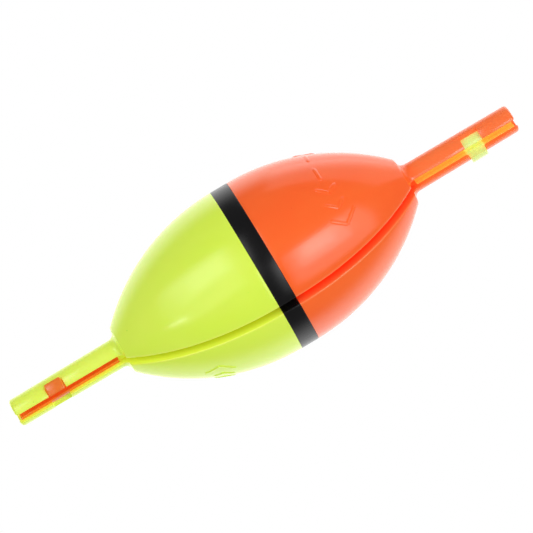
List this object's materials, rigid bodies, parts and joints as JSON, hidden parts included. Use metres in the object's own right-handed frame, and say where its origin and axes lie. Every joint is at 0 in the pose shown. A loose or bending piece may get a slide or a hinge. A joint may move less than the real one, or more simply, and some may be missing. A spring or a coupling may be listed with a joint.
{
  "type": "fishing float",
  "caption": "Slim egg-shaped fishing float with a lengthways slot for the line and a stem at each end that holds a turning lock tube with a thumb tab.",
  "frame": {"origin": "middle of the float, on its long axis", "axes": "+Z along the long axis towards the orange end, which is up when the float is fished; -Y out of the mouth of the line slot"},
  "size_m": [0.032, 0.032, 0.1026],
  "materials": {
    "yellow_plastic": "fluorescent yellow-green, moulded, glossy, slightly translucent",
    "orange_plastic": "fluorescent orange-red, moulded, glossy, slightly translucent",
    "black_plastic": "black, moulded, satin"
  },
  "bodies": {
    "float_body": {"lower_half_shell": "yellow_plastic", "upper_half_shell": "orange_plastic", "centre_ring": "black_plastic"},
    "lower_lock": {"lower_lock_tube": "orange_plastic"},
    "upper_lock": {"upper_lock_tube": "yellow_plastic"}
  },
  "joints": [
    {"name": "lower_lock_turn", "type": "hinge", "parent": "float_body", "child": "lower_lock", "pos_m": [0, 0, -0.0428], "axis": [0, 0, 1], "range_deg": [0, 95]},
    {"name": "upper_lock_turn", "type": "hinge", "parent": "float_body", "child": "upper_lock", "pos_m": [0, 0, 0.0428], "axis": [0, 0, 1], "range_deg": [-95, 0]}
  ]
}
